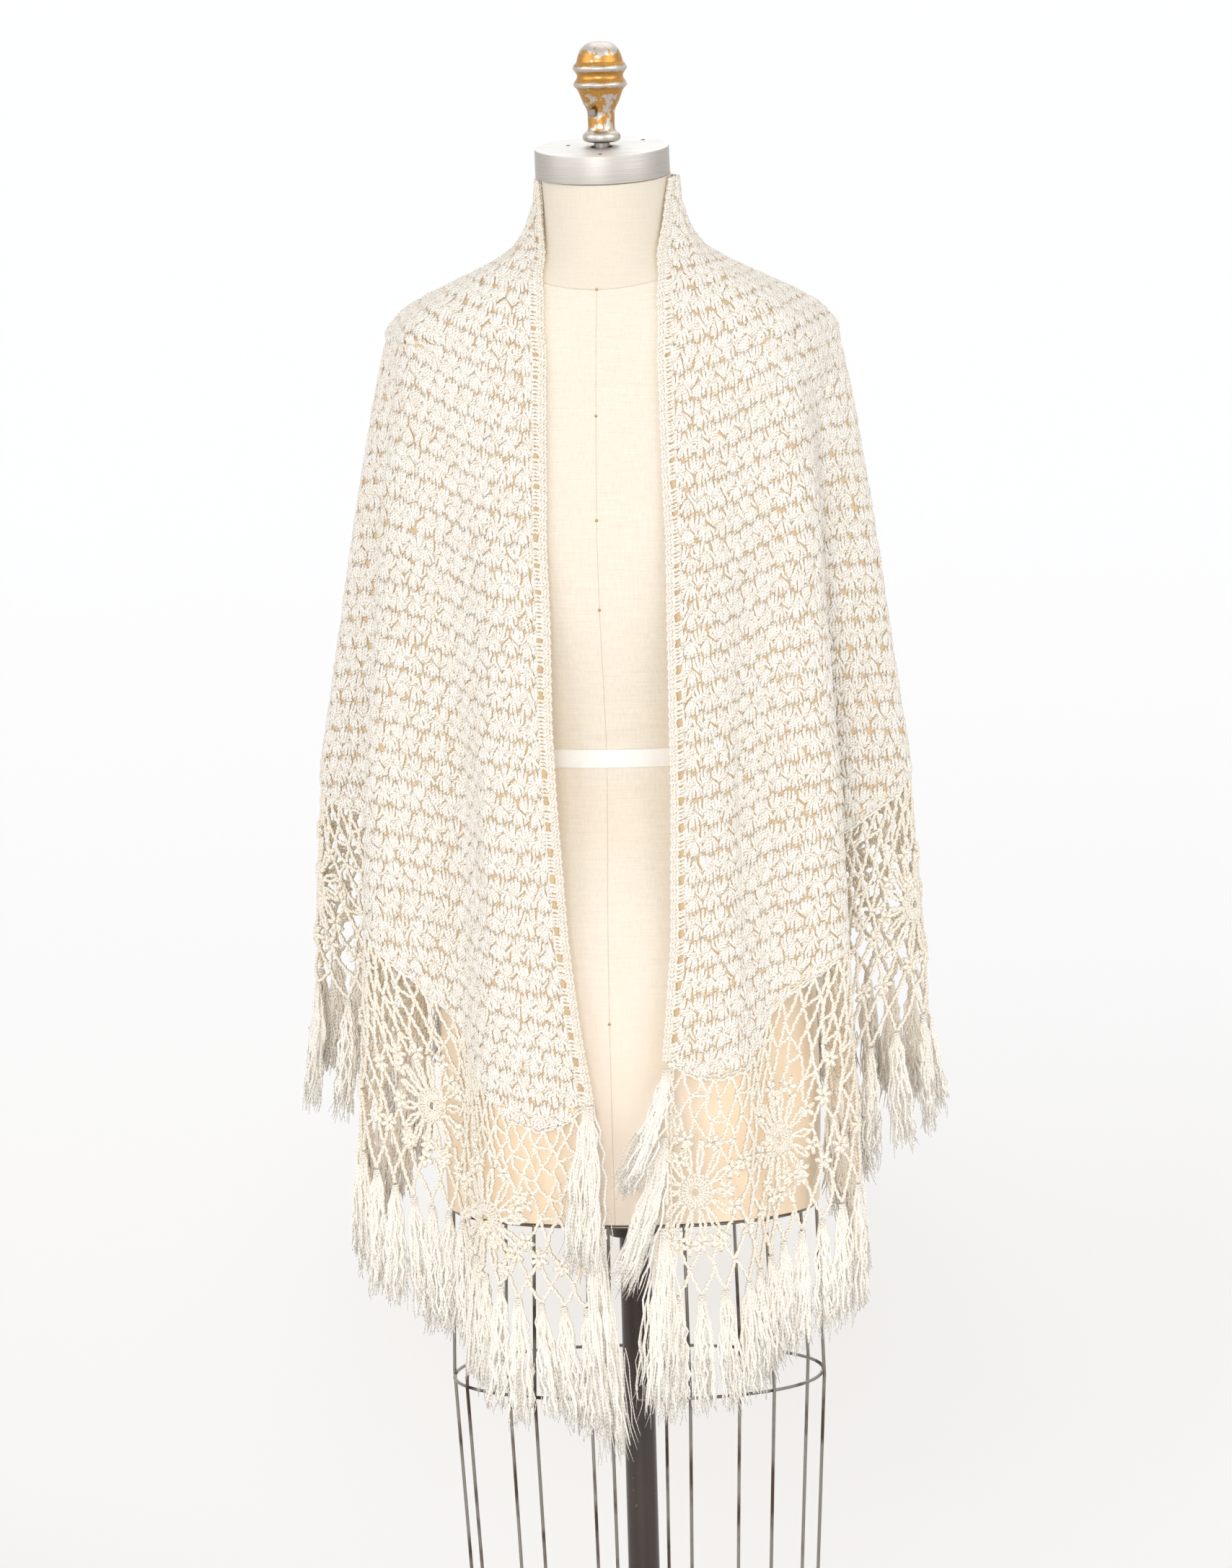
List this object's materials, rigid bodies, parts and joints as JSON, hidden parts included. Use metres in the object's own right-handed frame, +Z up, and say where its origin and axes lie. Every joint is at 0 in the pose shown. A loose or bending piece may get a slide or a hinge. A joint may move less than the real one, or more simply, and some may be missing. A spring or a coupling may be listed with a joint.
{
  "type": "lace shawl on limbless dress form",
  "caption": "Crocheted shawl with a lace border and tasselled hem, draped round the shoulders of a limbless dress form on a wire-skirted stand.",
  "frame": {"origin": "on the floor, under the pole's axis, at the middle of the foot's underside", "axes": "+Z up; the form faces -Y; +X to the right of someone who looks at its front"},
  "size_m": [0.5946, 0.42, 1.5923],
  "materials": {
    "linen": "natural linen glued on a hard form, matte",
    "tape": "white woven tape",
    "aluminium": "brushed round the edge, satin",
    "worn_gilt": "gilt rubbed off in places to grey metal",
    "wire": "dull oxidised steel",
    "black_paint": "black gloss enamel, scuffed",
    "cast_iron": "black painted casting",
    "crochet": "ivory crochet cotton",
    "silk_tassel": "ivory rayon yarn with a soft shine"
  },
  "bodies": {
    "stand": {"foot": "cast_iron", "pole": "black_paint"},
    "form": {"bottom_ring": "wire", "corner_tassel_left": "silk_tassel", "corner_tassel_right": "silk_tassel", "form_torso": "linen", "front_edging_left": "crochet", "front_edging_right": "crochet", "knob_screw": "wire", "lace_border_back": "crochet", "lace_border_left": "crochet", "lace_border_right": "crochet", "middle_ring": "wire", "neck_cap": "aluminium", "neck_knob": "worn_gilt", "neck_rod": "wire", "pole_collar": "black_paint", "rim_ring": "wire", "shawl_body": "crochet", "tassels_back": "silk_tassel", "tassels_left_front": "silk_tassel", "tassels_left_side": "silk_tassel", "tassels_right_front": "silk_tassel", "tassels_right_side": "silk_tassel", "upright_wire_01": "wire", "upright_wire_02": "wire", "upright_wire_03": "wire", "upright_wire_04": "wire", "upright_wire_05": "wire", "upright_wire_06": "wire", "upright_wire_07": "wire", "upright_wire_08": "wire", "upright_wire_09": "wire", "upright_wire_10": "wire", "upright_wire_11": "wire", "upright_wire_12": "wire", "waist_tape": "tape"}
  },
  "joints": [
    {"name": "form_swivel", "type": "hinge", "parent": "stand", "child": "form", "pos_m": [0, 0, 0.54], "axis": [0, 0, 1], "continuous": true}
  ]
}
